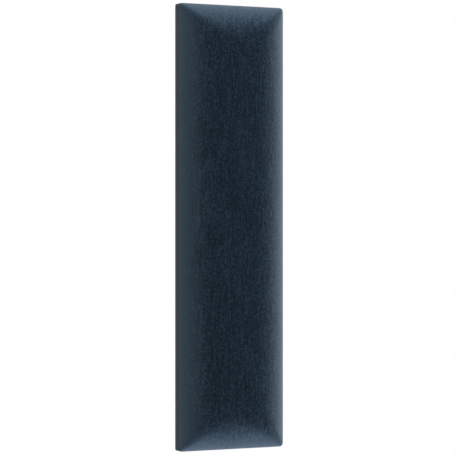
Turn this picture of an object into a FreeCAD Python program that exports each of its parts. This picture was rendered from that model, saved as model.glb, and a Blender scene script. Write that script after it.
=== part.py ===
import FreeCAD, Part
import math
import operator
import os
import Sketcher

# An upholstered wall pad, in millimetres. The wall is the plane y = 0, the front faces -Y and +Z is
# up. The origin lies on the wall, at the centre of the four wall screw holes, and the pad is
# centred on it. "Depth" is the distance of a plane in front of the wall.

DRIVING_SIZES = [
    ("panel_width", 150.0, "covered pad, side to side"),
    ("panel_height", 600.0, "covered pad, bottom to top"),
    ("corner_round", 5.0, "outer radius of the four corners seen from the front"),
    ("board_thick", 12.0, "backing board"),
    ("firm_thick", 12.0, "firm foam next to the board"),
    ("pillow_rise", 24.0, "crown of the pad in front of the board's front face"),
    ("pillow_run", 62.0, "how far in from the edge the crown begins"),
    ("round_growth", 0.12, "growth of the corner radius for each mm of inset"),
    ("cover_thick", 1.2, "velour cover"),
    ("wadding_thick", 2.0, "polyester wadding"),
    ("return_width", 25.0, "cover folded onto the back of the board"),
    ("dust_thick", 0.4, "non-woven dust cover"),
    ("dust_margin", 15.0, "dust cover's edge, in from the pad's edge"),
    ("clip_width", 50.0, "Z-clip, side to side"),
    ("clip_thick", 2.5, "Z-clip plate"),
    ("clip_gap", 0.3, "play between two hooked clips"),
    ("clip_base", 22.0, "height of a clip's screwed leg"),
    ("clip_tongue", 12.0, "height of a clip's hooking leg"),
    ("clip_corner", 3.0, "radius of a clip's corners"),
    ("clip_bend", 1.0, "radius of a clip's bends"),
    ("clip_spacing", 400.0, "upper clip's holes to lower clip's holes"),
    ("hole_spacing", 30.0, "screw to screw across one clip"),
    ("hole_round", 2.25, "radius of a screw hole"),
    ("hole_sink", 1.75, "depth of a hole's 90 degree countersink"),
    ("screw_head", 3.95, "radius of a screw's countersunk head"),
    ("screw_shank", 1.75, "radius of a screw's shank"),
    ("screw_length", 13.0, "length of a screw"),
    ("screw_point", 3.0, "length of a screw's point"),
    ("drive_span", 4.4, "cross recess, tip to tip"),
    ("drive_slot", 0.9, "width of a cross recess's arm"),
    ("drive_depth", 1.3, "depth of the cross recess"),
    ("bumper_round", 5.0, "radius of a rubber bumper"),
    ("bumper_edge", 1.2, "rounding of a bumper's rim"),
    ("bumper_inset", 9.0, "bumper's centre, in from the pad's edges"),
    ("staple_crown", 10.0, "length of a staple's crown"),
    ("staple_wire", 0.5, "thickness of the staple wire"),
    ("staple_flat", 1.2, "width of the staple wire"),
    ("cover_staple_leg", 8.0, "leg of a staple that holds the cover"),
    ("cover_staple_inset", 23.2, "row of those staples, in from the pad's edge"),
    ("cover_staple_pitch", 35.0, "from one of those staples to the next"),
    ("dust_staple_leg", 6.0, "leg of a staple that holds the dust cover"),
    ("dust_staple_inset", 18.5, "row of those staples, in from the pad's edge"),
    ("dust_staple_pitch", 70.0, "from one of those staples to the next"),
]

COVER_STAPLES_SIDE = 16
COVER_STAPLES_END = 3
DUST_STAPLES_SIDE = 8
DUST_STAPLES_END = 2

LOW_LEVELS = 3      # steps of the pillow's curve beside the firm foam
HIGH_LEVELS = 6     # steps of the pillow's curve beside the soft foam
SLOPE_POWER = 3     # the slope falls away from the crown with this power of the distance

NEAR = 0.01         # how close two places count as the same


class Length:
    """A size: its number, and the formula on the sheet's cells that gives it."""

    def __init__(self, number, formula):
        self.number = number
        self.formula = formula

    def __add__(self, other):
        return combine(self, "+", other)

    def __radd__(self, other):
        return combine(other, "+", self)

    def __sub__(self, other):
        return combine(self, "-", other)

    def __rsub__(self, other):
        return combine(other, "-", self)

    def __mul__(self, other):
        return combine(self, "*", other)

    def __rmul__(self, other):
        return combine(other, "*", self)

    def __truediv__(self, other):
        return combine(self, "/", other)

    def __neg__(self):
        return combine(-1, "*", self)


OPERATORS = {"+": operator.add, "-": operator.sub, "*": operator.mul, "/": operator.truediv}


def as_length(value):
    return value if isinstance(value, Length) else Length(float(value), f"({float(value):.6f})")


def combine(left, sign, right):
    left, right = as_length(left), as_length(right)
    number = OPERATORS[sign](left.number, right.number)
    return Length(number, f"({left.formula} {sign} {right.formula})")


def fill_sheet(doc):
    sheet = doc.addObject("Spreadsheet::Sheet", "sizes")
    lengths = {}
    for row, (alias, number, note) in enumerate(DRIVING_SIZES, start=1):
        sheet.set(f"A{row}", note)
        sheet.set(f"B{row}", str(number))
        sheet.setAlias(f"B{row}", alias)
        lengths[alias] = Length(number, f"sizes.{alias}")
    doc.recompute()
    return lengths


doc = FreeCAD.newDocument("wall_pad")
size = fill_sheet(doc)

# Planes of the build-up, as depths in front of the wall.
dust_back = 2 * size["clip_thick"] + 3 * size["clip_gap"]
board_back = dust_back + size["dust_thick"]
return_back = board_back - size["cover_thick"]
flange_back = return_back - size["dust_thick"]
board_front = board_back + size["board_thick"]

# A wall clip's origin is the top of its screwed leg, and its tongue stands one joggle in front.
# Hooked on it, a panel clip's origin is `panel_clip_rise` higher. `screw_height` is the height of
# the lower panel clip's screws: half a leg above that origin, with the wall screws at half the
# clip spacing below the pad's centre.
joggle = size["clip_thick"] + 2 * size["clip_gap"]
panel_clip_rise = 2 * joggle + size["clip_tongue"] + size["clip_gap"]
screw_height = panel_clip_rise + size["clip_base"] - size["clip_spacing"] / 2


def bind(thing, property_name, length):
    thing.setExpression(property_name, as_length(length).formula)


def new_body(name):
    body = doc.addObject("PartDesign::Body", name)
    body.Label = name
    return body


def new_sketch(body, name, plane, offset=0):
    """A sketch on one of the body's own planes, moved along that plane's normal."""
    sketch = body.newObject("Sketcher::SketchObject", f"{body.Name}_{name}")
    support = [feature for feature in body.Origin.OriginFeatures if feature.Role == plane][0]
    sketch.AttachmentSupport = [(support, "")]
    sketch.MapMode = "FlatFace"
    bind(sketch, "AttachmentOffset.Base.z", offset)
    return sketch


def dimension(sketch, kind, *where, length):
    """One driven dimension of a sketch, bound to the sheet."""
    length = as_length(length)
    index = sketch.addConstraint(Sketcher.Constraint(kind, *where, length.number))
    sketch.setExpression(f"Constraints[{index}]", length.formula)


def rounded_rectangle(sketch, wide, tall, radius):
    """Four lines and four arcs about the origin, anticlockwise from the bottom line."""
    across, up = wide / 2 - radius, tall / 2 - radius
    corner_signs = [(1, -1), (1, 1), (-1, 1), (-1, -1)]
    normal = FreeCAD.Vector(0, 0, 1)
    for turn, (sign_x, sign_y) in enumerate(corner_signs):
        start_angle = (turn - 1) * math.pi / 2
        centre = FreeCAD.Vector(sign_x * across.number, sign_y * up.number, 0)
        whole = Part.Circle(centre, normal, radius.number)
        arc = Part.ArcOfCircle(whole, start_angle, start_angle + math.pi / 2)
        before_x, before_y = corner_signs[turn - 1]
        before_centre = FreeCAD.Vector(before_x * across.number, before_y * up.number, 0)
        outward = FreeCAD.Vector(math.cos(start_angle), math.sin(start_angle), 0) * radius.number
        sketch.addGeometry(Part.LineSegment(before_centre + outward, centre + outward), False)
        sketch.addGeometry(arc, False)
    for turn, (sign_x, sign_y) in enumerate(corner_signs):
        line, arc = 2 * turn, 2 * turn + 1
        next_line = (line + 2) % 8
        sketch.addConstraint(Sketcher.Constraint("Tangent", line, 2, arc, 1))
        sketch.addConstraint(Sketcher.Constraint("Tangent", arc, 2, next_line, 1))
        dimension(sketch, "DistanceX", arc, 3, length=sign_x * across)
        dimension(sketch, "DistanceY", arc, 3, length=sign_y * up)
        dimension(sketch, "Radius", arc, length=radius)


def outline(sketch, corners):
    """A closed polygon through the corners, each corner dimensioned from the origin."""
    corners = [(as_length(x), as_length(y)) for x, y in corners]
    points = [FreeCAD.Vector(x.number, y.number, 0) for x, y in corners]
    for index, point in enumerate(points):
        following = points[(index + 1) % len(points)]
        sketch.addGeometry(Part.LineSegment(point, following), False)
    for index, (x, y) in enumerate(corners):
        following = (index + 1) % len(points)
        sketch.addConstraint(Sketcher.Constraint("Coincident", index, 2, following, 1))
        dimension(sketch, "DistanceX", index, 1, length=x)
        dimension(sketch, "DistanceY", index, 1, length=y)


def circle(sketch, x, y, radius):
    x, y, radius = as_length(x), as_length(y), as_length(radius)
    centre = FreeCAD.Vector(x.number, y.number, 0)
    index = sketch.addGeometry(
        Part.Circle(centre, FreeCAD.Vector(0, 0, 1), radius.number), False)
    dimension(sketch, "DistanceX", index, 3, length=x)
    dimension(sketch, "DistanceY", index, 3, length=y)
    dimension(sketch, "Radius", index, length=radius)


def pad(body, sketch, length, midplane=False):
    feature = body.newObject("PartDesign::Pad", f"{sketch.Name}_pad")
    feature.Profile = sketch
    feature.Midplane = midplane
    bind(feature, "Length", length)
    return feature


def pocket(body, sketch, length):
    """A cut from the sketch's plane, against its normal."""
    feature = body.newObject("PartDesign::Pocket", f"{sketch.Name}_pocket")
    feature.Profile = sketch
    bind(feature, "Length", length)
    return feature


def grid(body, originals, wide, across, tall, up):
    """The features repeated `across` times over `wide` along X, `up` times over `tall` along Z."""
    axes = {feature.Role: feature for feature in body.Origin.OriginFeatures}
    pattern = body.newObject("PartDesign::LinearPattern", f"{originals[0].Name}_grid")
    pattern.Originals = originals
    pattern.Direction = (axes["X_Axis"], [""])
    pattern.Occurrences = across
    bind(pattern, "Length", wide)
    pattern.Direction2 = (axes["Z_Axis"], [""])
    pattern.Occurrences2 = up
    bind(pattern, "Length2", tall)
    body.Tip = pattern


class Pillow:
    """One skin of the crowned front: a rounded rectangle that shrinks as it rises."""

    def __init__(self, skin):
        """`skin` is how far this skin lies under the outside of the cover."""
        self.wide = size["panel_width"] - 2 * skin
        self.tall = size["panel_height"] - 2 * skin
        self.rise = size["pillow_rise"] - skin
        self.run = size["pillow_run"] - skin
        self.radius = size["corner_round"] - skin

    def section(self, body, name, share):
        """The skin's outline at this share of the way from the edge to the crown."""
        inset = self.run * share
        height = self.rise * (1 - (1 - share) ** SLOPE_POWER)
        sketch = new_sketch(body, name, "XZ_Plane", board_front + height)
        radius = self.radius + size["round_growth"] * inset
        rounded_rectangle(sketch, self.wide - 2 * inset, self.tall - 2 * inset, radius)
        return sketch

    def loft(self, body, name, kind, shares):
        sections = [self.section(body, f"{name}{step}", share) for step, share in enumerate(shares)]
        feature = body.newObject(f"PartDesign::{kind}", f"{body.Name}_{name}_loft")
        feature.Profile = sections[0]
        feature.Sections = sections[1:]
        feature.Ruled = True
        return feature


outer_skin = Pillow(as_length(0))
cover_inside = Pillow(size["cover_thick"])
foam_skin = Pillow(size["cover_thick"] + size["wadding_thick"])

# The steps of the slope are shared by every skin, so that the layers fit into each other. One of
# them is where the firm foam ends and the soft foam begins.
firm_rise = size["firm_thick"].number / foam_skin.rise.number
firm_share = 1 - (1 - firm_rise) ** (1 / SLOPE_POWER)
low_shares = [firm_share * step / LOW_LEVELS for step in range(LOW_LEVELS + 1)]
high_shares = [firm_share + (1 - firm_share) * step / HIGH_LEVELS
               for step in range(HIGH_LEVELS + 1)]
all_shares = low_shares + high_shares[1:]


def screw_holes(body, deepest):
    """Four round cuts for the panel clips' screws, from the depth `deepest` to the back."""
    sketch = new_sketch(body, "screw_hole", "XZ_Plane", deepest)
    circle(sketch, -size["hole_spacing"] / 2, screw_height, size["screw_shank"])
    hole = pocket(body, sketch, deepest)
    grid(body, [hole], size["hole_spacing"], 2, size["clip_spacing"], 2)


def make_backing_board():
    body = new_body("backing_board")
    sketch = new_sketch(body, "face", "XZ_Plane", board_back)
    rounded_rectangle(sketch, cover_inside.wide, cover_inside.tall, cover_inside.radius)
    pad(body, sketch, size["board_thick"])
    doc.recompute()
    grip = size["screw_length"] - size["clip_thick"] - size["dust_thick"]
    screw_holes(body, board_back + grip)


def make_foam_core():
    body = new_body("foam_core")
    foam_skin.loft(body, "level", "AdditiveLoft", low_shares)


def make_foam_topper():
    body = new_body("foam_topper")
    foam_skin.loft(body, "level", "AdditiveLoft", high_shares)


def make_wadding_layer():
    body = new_body("wadding_layer")
    cover_inside.loft(body, "outside", "AdditiveLoft", all_shares)
    foam_skin.loft(body, "inside", "SubtractiveLoft", all_shares)


def make_fabric_cover():
    """Velour over the pillow and the sides, folded round onto the back of the board."""
    body = new_body("fabric_cover")
    outside = new_sketch(body, "outside", "XZ_Plane", return_back)
    rounded_rectangle(outside, outer_skin.wide, outer_skin.tall, outer_skin.radius)
    pad(body, outside, board_front - return_back)
    outer_skin.loft(body, "crown", "AdditiveLoft", all_shares)
    cover_inside.loft(body, "lining", "SubtractiveLoft", all_shares)
    inside = new_sketch(body, "board_space", "XZ_Plane", board_front)
    rounded_rectangle(inside, cover_inside.wide, cover_inside.tall, cover_inside.radius)
    pocket(body, inside, size["board_thick"])
    opening = new_sketch(body, "back_opening", "XZ_Plane", board_back)
    margin = 2 * size["return_width"]
    rounded_rectangle(
        opening, cover_inside.wide - margin, cover_inside.tall - margin, size["cover_thick"])
    pocket(body, opening, 2 * size["cover_thick"])


def make_dust_cover():
    """A thin sheet on the board, stepping up onto the cover's folded edge all round."""
    body = new_body("dust_cover")
    margin = 2 * size["return_width"]
    well_wide = cover_inside.wide - margin
    well_tall = cover_inside.tall - margin
    edge = 2 * size["dust_margin"]
    flange = new_sketch(body, "flange", "XZ_Plane", flange_back)
    rounded_rectangle(
        flange, size["panel_width"] - edge, size["panel_height"] - edge, size["corner_round"])
    pad(body, flange, size["dust_thick"])
    well = new_sketch(body, "well", "XZ_Plane", return_back)
    rounded_rectangle(well, well_wide, well_tall, size["cover_thick"])
    pad(body, well, size["cover_thick"])
    hollow = new_sketch(body, "hollow", "XZ_Plane", dust_back)
    step = 2 * size["dust_thick"]
    rounded_rectangle(
        hollow, well_wide - step, well_tall - step, size["cover_thick"] - size["dust_thick"])
    pocket(body, hollow, 2 * size["cover_thick"])
    doc.recompute()
    screw_holes(body, board_back)


def staple_profile(sketch, back, leg, crown_first):
    """A U seen from the side: its crown lies at depth `back`, its legs point forward (-Y)."""
    half = size["staple_crown"] / 2
    wire = size["staple_wire"]
    crown_back, crown_front, tip = -back, -(back + wire), -(back + leg)
    along_and_depth = [
        (-half, crown_back), (half, crown_back), (half, tip), (half - wire, tip),
        (half - wire, crown_front), (-(half - wire), crown_front), (-(half - wire), tip),
        (-half, tip),
    ]
    if crown_first:
        outline(sketch, along_and_depth)
    else:
        outline(sketch, [(depth, along) for along, depth in along_and_depth])


def make_staples(name, back, leg, inset, pitch, side_count, end_count):
    """Two columns of staples along the pad's sides and two rows along its ends."""
    body = new_body(name)
    half_wide = size["panel_width"] / 2 - inset
    half_tall = size["panel_height"] / 2 - inset
    side_run = pitch * (side_count - 1)
    end_run = pitch * (end_count - 1)

    side = new_sketch(body, "side", "YZ_Plane", -half_wide)
    staple_profile(side, back, leg, crown_first=False)
    bind(side, "AttachmentOffset.Base.y", -side_run / 2)
    first_side = pad(body, side, size["staple_flat"], midplane=True)
    doc.recompute()
    grid(body, [first_side], 2 * half_wide, 2, side_run, side_count)

    end = new_sketch(body, "end", "XY_Plane", -half_tall)
    staple_profile(end, back, leg, crown_first=True)
    bind(end, "AttachmentOffset.Base.x", -end_run / 2)
    first_end = pad(body, end, size["staple_flat"], midplane=True)
    doc.recompute()
    grid(body, [first_end], end_run, end_count, 2 * half_tall, 2)


def is_parallel(edge, axis):
    direction = edge.Vertexes[-1].Point - edge.Vertexes[0].Point
    return abs(direction.dot(axis)) > 0.999 * direction.Length > 0


def dress(body, kind, name, chosen, length):
    """A fillet or chamfer on the edges of the body's last feature that `chosen` accepts."""
    doc.recompute()
    last = body.Tip
    names = [f"Edge{number}" for number, edge in enumerate(last.Shape.Edges, start=1)
             if chosen(edge)]
    feature = body.newObject(f"PartDesign::{kind}", f"{body.Name}_{name}")
    feature.Base = (last, names)
    bind(feature, "Radius" if kind == "Fillet" else "Size", length)
    return feature


def make_clip(name, height, turned):
    """A Z-clip. Its screwed leg hangs below its origin and its tongue stands above and in front.

    A turned clip is the same part upside down and facing the other way, for the pad's back.
    """
    body = new_body(name)
    thick, base, tongue = size["clip_thick"], size["clip_base"], size["clip_tongue"]
    profile = new_sketch(body, "profile", "YZ_Plane")
    lean = thick * math.tan(math.pi / 8)     # shift of a 45 degree bend across the plate
    outline(profile, [
        (0, -base), (0, 0), (-joggle, joggle), (-joggle, joggle + tongue),
        (-joggle - thick, joggle + tongue), (-joggle - thick, joggle - lean),
        (-thick, -lean), (-thick, -base),
    ])
    pad(body, profile, size["clip_width"], midplane=True)

    def is_bend(edge):
        between_ends = -base.number / 2 < edge.CenterOfMass.z < (joggle + tongue / 2).number
        return is_parallel(edge, FreeCAD.Vector(1, 0, 0)) and between_ends

    def is_corner(edge):
        return is_parallel(edge, FreeCAD.Vector(0, 1, 0))

    def is_hole_mouth(edge):
        if not isinstance(edge.Curve, Part.Circle):
            return False
        is_hole = abs(edge.Curve.Radius - size["hole_round"].number) < NEAR
        return is_hole and abs(edge.CenterOfMass.y + thick.number) < NEAR

    dress(body, "Fillet", "bends", is_bend, size["clip_bend"])
    dress(body, "Fillet", "corners", is_corner, size["clip_corner"])
    holes = new_sketch(body, "holes", "XZ_Plane", 2 * thick)
    for side in (-1, 1):
        circle(holes, side * size["hole_spacing"] / 2, -base / 2, size["hole_round"])
    pocket(body, holes, 3 * thick)
    dress(body, "Chamfer", "sinks", is_hole_mouth, size["hole_sink"])
    if turned:
        body.Placement.Rotation = FreeCAD.Rotation(FreeCAD.Vector(1, 0, 0), 180)
        bind(body, "Placement.Base.y", -dust_back)
        bind(body, "Placement.Base.z", height + panel_clip_rise)
    else:
        bind(body, "Placement.Base.z", height)


def make_screws():
    """Four countersunk wood screws, heads flush with the wall side of the panel clips."""
    body = new_body("panel_clip_screws")
    head_back = dust_back - size["clip_thick"]
    head, shank = size["screw_head"], size["screw_shank"]
    tip = -(head_back + size["screw_length"])
    profile = new_sketch(body, "profile", "XY_Plane", screw_height)
    outline(profile, [
        (0, -head_back), (head, -head_back), (shank, -head_back - (head - shank)),
        (shank, tip + size["screw_point"]), (0, tip),
    ])
    bind(profile, "AttachmentOffset.Base.x", -size["hole_spacing"] / 2)
    turn = body.newObject("PartDesign::Revolution", "panel_clip_screws_turn")
    turn.Profile = profile
    turn.ReferenceAxis = (profile, ["V_Axis"])
    turn.Angle = 360
    doc.recompute()
    recess = new_sketch(body, "recess", "XZ_Plane", head_back + size["drive_depth"])
    span, slot = size["drive_span"] / 2, size["drive_slot"] / 2
    outline(recess, [
        (-slot, -span), (slot, -span), (slot, -slot), (span, -slot), (span, slot), (slot, slot),
        (slot, span), (-slot, span), (-slot, slot), (-span, slot), (-span, -slot), (-slot, -slot),
    ])
    bind(recess, "AttachmentOffset.Base.x", -size["hole_spacing"] / 2)
    bind(recess, "AttachmentOffset.Base.y", screw_height)
    cross = pocket(body, recess, 2 * size["drive_depth"])
    doc.recompute()
    grid(body, [turn, cross], size["hole_spacing"], 2, size["clip_spacing"], 2)


def make_bumper(name, side, end):
    body = new_body(name)
    foot = new_sketch(body, "foot", "XZ_Plane")
    circle(foot, 0, 0, size["bumper_round"])
    pad(body, foot, return_back)
    dress(body, "Fillet", "rim", lambda edge: abs(edge.CenterOfMass.y) < NEAR, size["bumper_edge"])
    bind(body, "Placement.Base.x", side * (size["panel_width"] / 2 - size["bumper_inset"]))
    bind(body, "Placement.Base.z", end * (size["panel_height"] / 2 - size["bumper_inset"]))


def check_document():
    for thing in doc.Objects:
        faults = [state for state in thing.State if state in ("Invalid", "Error")]
        if faults:
            raise RuntimeError(f"{thing.Label} is {faults}")


def export_parts():
    os.makedirs("parts", exist_ok=True)
    for body in [thing for thing in doc.Objects if thing.TypeId == "PartDesign::Body"]:
        shape = body.Shape
        if shape.isNull() or not shape.isValid():
            raise RuntimeError(f"{body.Label} has no valid shape")
        shape.exportStep(f"parts/{body.Label}.step")
        box = shape.BoundBox
        print(f"{body.Label}: {len(shape.Solids)} solids, {shape.Volume / 1000:.2f} cm3, "
              f"x {box.XMin:.1f}..{box.XMax:.1f}  y {box.YMin:.1f}..{box.YMax:.1f}  "
              f"z {box.ZMin:.1f}..{box.ZMax:.1f}")


make_backing_board()
make_foam_core()
make_foam_topper()
make_wadding_layer()
make_fabric_cover()
make_staples("cover_staples", return_back, size["cover_staple_leg"], size["cover_staple_inset"],
             size["cover_staple_pitch"], COVER_STAPLES_SIDE, COVER_STAPLES_END)
make_dust_cover()
make_staples("dust_cover_staples", flange_back - size["staple_wire"], size["dust_staple_leg"],
             size["dust_staple_inset"], size["dust_staple_pitch"], DUST_STAPLES_SIDE,
             DUST_STAPLES_END)
for level, sign in (("upper", 1), ("lower", -1)):
    clip_height = sign * size["clip_spacing"] / 2 + size["clip_base"] / 2
    make_clip(f"{level}_wall_clip", clip_height, turned=False)
    make_clip(f"{level}_panel_clip", clip_height, turned=True)
make_screws()
for level, end in (("upper", 1), ("lower", -1)):
    for hand, side in (("left", -1), ("right", 1)):
        make_bumper(f"{level}_{hand}_bumper", side, end)

doc.recompute()
check_document()
export_parts()
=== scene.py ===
"""An upholstered wall pad in navy velour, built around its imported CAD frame. Metres, +Z up, front -Y."""

import math
import random

import bmesh
import bpy
import numpy as np
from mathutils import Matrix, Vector


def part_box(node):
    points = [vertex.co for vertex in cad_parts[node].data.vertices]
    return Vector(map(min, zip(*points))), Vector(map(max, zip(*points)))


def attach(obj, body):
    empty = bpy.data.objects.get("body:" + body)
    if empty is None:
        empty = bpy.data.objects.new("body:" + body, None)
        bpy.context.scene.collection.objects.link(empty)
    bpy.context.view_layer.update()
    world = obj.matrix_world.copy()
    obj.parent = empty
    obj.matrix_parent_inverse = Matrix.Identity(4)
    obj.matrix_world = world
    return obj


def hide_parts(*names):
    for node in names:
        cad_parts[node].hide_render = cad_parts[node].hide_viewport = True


MM = 0.001

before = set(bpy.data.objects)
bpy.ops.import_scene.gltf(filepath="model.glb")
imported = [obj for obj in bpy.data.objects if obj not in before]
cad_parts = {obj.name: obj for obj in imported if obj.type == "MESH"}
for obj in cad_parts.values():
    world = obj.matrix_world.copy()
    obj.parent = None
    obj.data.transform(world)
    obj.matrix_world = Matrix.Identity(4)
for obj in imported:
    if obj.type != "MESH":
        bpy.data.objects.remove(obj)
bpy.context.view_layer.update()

# ---------------------------------------------------------------- places read from the frame

cover_low, cover_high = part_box("fabric_cover")
board_low, board_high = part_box("backing_board")
_, wadding_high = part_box("wadding_layer")
core_low, core_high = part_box("foam_core")
_, dust_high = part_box("dust_cover")
dust_staple_low, dust_staple_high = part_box("dust_cover_staples")
hidden_staple_low, hidden_staple_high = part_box("cover_staples")

STUFFED_SIDE = 0.6 * MM         # how far the stuffed cloth stands proud of its true size
STUFFED_END = 0.3 * MM
HALF_WIDE = cover_high.x + STUFFED_SIDE
HALF_TALL = cover_high.z + STUFFED_END
FRONT = cover_low.y             # crown of the cover
RIM = board_low.y               # where the straight rim ends and the pillow begins
BACK = cover_high.y             # back of the folded-over cloth
CLOTH = cover_high.x - board_high.x
WADDING = wadding_high.x - core_high.x

# ---------------------------------------------------------------- shape of the soft parts

CORNER_ROUND = 4.6 * MM         # at the front of the rim, over foam
BACK_CORNER = 0.9 * MM          # at the back of the rim, over the board's sharp corner
RETURN_CORNER = 0.7 * MM        # at the inner edge of the folded cloth
PILLOW_RUN = 62 * MM            # how far in from the edge the crown begins
PILLOW_POWER = 2.7              # the slope falls away from the crown with this power of distance
RIM_POWER = 0.86                # below 1, the cloth turns more steeply over the front of the rim
ROUND_GROWTH = 0.42             # growth of the corner radius for each unit of inset
ROUND_LIMIT = 0.9               # the corner radius as a share of the ring's half width, at most
FLAT_RUN = 68 * MM              # inset of the flat middle, whose corners are square
BACK_EDGE = 0.8 * MM            # radius of the cloth where it turns onto the back
RETURN_WIDE = 25 * MM           # cloth folded onto the back

CELLS_ACROSS = 30
CELLS_UP = 96
CROWDING = 0.55                 # how much the cells crowd towards the corners
CURVE_SAMPLES = 2000            # points that measure the slope's length
SLOPE_RINGS = 16
EDGE_RINGS = 4
RETURN_RINGS = 8


def smoothstep(low, high, value):
    """0 below `low`, 1 above `high`, and a smooth rise between them."""
    t = np.clip((np.asarray(value, float) - low) / (high - low), 0, 1)
    return t * t * (3 - 2 * t)


def crowded(count):
    """count + 1 places from -1 to 1, closer together towards the ends."""
    t = np.linspace(0, 1, count + 1)
    return (1 - CROWDING) * (2 * t - 1) + CROWDING * np.sin(np.pi * (t - 0.5))


def perimeter(across, up):
    """The rectangle's border as unit places, anticlockwise from its lower left corner."""
    x, z = crowded(across), crowded(up)
    bottom = [(value, -1.0) for value in x[:-1]]
    right = [(1.0, value) for value in z[:-1]]
    top = [(value, 1.0) for value in x[:0:-1]]
    left = [(-1.0, value) for value in z[:0:-1]]
    return np.array(bottom + right + top + left)


def rounded(unit, half_wide, half_tall, radius):
    """The border of a rounded rectangle, and each point's outward direction."""
    signs = np.where(unit < 0, -1.0, 1.0)
    x, z = np.abs(unit[:, 0]) * half_wide, np.abs(unit[:, 1]) * half_tall
    on_end = np.abs(unit[:, 1]) >= 1
    side = np.where(on_end, half_wide, half_tall)
    from_corner = np.where(on_end, half_wide - x, half_tall - z)
    zone = radius * math.pi / 4
    if radius <= 0:
        direction = np.stack([np.where(on_end, 0, 1.0), np.where(on_end, 1.0, 0)], 1)
        return np.stack([x, z], 1) * signs, direction * signs
    turn = np.clip(from_corner / zone, 0, 1) * math.pi / 4
    angle = math.pi / 4 + np.where(on_end, turn, -turn)
    direction = np.stack([np.cos(angle), np.sin(angle)], 1)
    points = np.array([half_wide - radius, half_tall - radius]) + radius * direction
    straight = (side - radius) * (side - from_corner) / (side - zone)
    beyond = from_corner > zone
    points[:, 0] = np.where(beyond & on_end, straight, points[:, 0])
    points[:, 1] = np.where(beyond & ~on_end, straight, points[:, 1])
    return points * signs, direction * signs


def slope_profile(rise, run, steps):
    """(inset, height above the rim) from the rim to the crown, evenly spread along the curve."""
    share = np.linspace(0, 1, CURVE_SAMPLES) ** 2
    inset = run * share
    height = rise * (1 - (1 - share) ** PILLOW_POWER) ** RIM_POWER
    length = np.concatenate([[0], np.cumsum(np.hypot(np.diff(inset), np.diff(height)))])
    wanted = np.linspace(0, length[-1], steps + 1)
    return list(zip(np.interp(wanted, length, inset), np.interp(wanted, length, height)))


def spare_cloth(profile):
    """How much longer than its straight inset the cloth is, from each inset to the crown."""
    insets = np.array([inset for inset, _ in profile])
    heights = np.array([height for _, height in profile])
    lengths = np.concatenate([[0], np.cumsum(np.hypot(np.diff(insets), np.diff(heights)))])
    return insets, (lengths[-1] - lengths) - (insets[-1] - insets)


def new_piece(name, points, faces, cloth_uv=None):
    """A smooth-shaded mesh object, with each point's place on the flat cloth if it is given."""
    mesh = bpy.data.meshes.new(name)
    mesh.from_pydata([tuple(p) for p in points], [], faces)
    if cloth_uv is not None:
        layer = mesh.uv_layers.new(name="cloth")
        corners = np.empty(len(mesh.loops), np.int32)
        mesh.loops.foreach_get("vertex_index", corners)
        layer.data.foreach_set("uv", np.asarray(cloth_uv, np.float32)[corners].ravel())
    mesh.validate()
    mesh.shade_smooth()
    piece = bpy.data.objects.new(name, mesh)
    bpy.context.scene.collection.objects.link(piece)
    return piece


def tidy_normals(piece):
    """Turns every face of a closed mesh outwards."""
    edit = bmesh.new()
    edit.from_mesh(piece.data)
    bmesh.ops.recalc_face_normals(edit, faces=edit.faces)
    edit.to_mesh(piece.data)
    edit.free()


def apply_modifiers(piece):
    """Swaps the mesh for the one that its modifiers make, and removes them."""
    evaluated = piece.evaluated_get(bpy.context.evaluated_depsgraph_get())
    mesh = bpy.data.meshes.new_from_object(evaluated)
    old = piece.data
    piece.modifiers.clear()
    piece.data = mesh
    bpy.data.meshes.remove(old)
    mesh.name = piece.name


def ring_faces(rings, count):
    """Quads between rings of `count` points, facing outwards for rings that run inwards."""
    faces = []
    for ring in range(rings - 1):
        for k in range(count):
            following = (k + 1) % count
            a, b = ring * count, (ring + 1) * count
            faces.append((a + k, a + following, b + following, b + k))
    return faces


def middle_grid(start, border_start, across, up):
    """Quads that fill the last ring. Inside points follow at `start`, row by row."""
    count = 2 * (across + up)

    def index(i, j):
        if j == 0:
            return border_start + i
        if i == across:
            return border_start + across + j
        if j == up:
            return border_start + across + up + (across - i)
        if i == 0:
            return border_start + (2 * across + up + (up - j)) % count
        return start + (j - 1) * (across - 1) + (i - 1)

    return [(index(i, j), index(i + 1, j), index(i + 1, j + 1), index(i, j + 1))
            for j in range(up) for i in range(across)]


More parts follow.
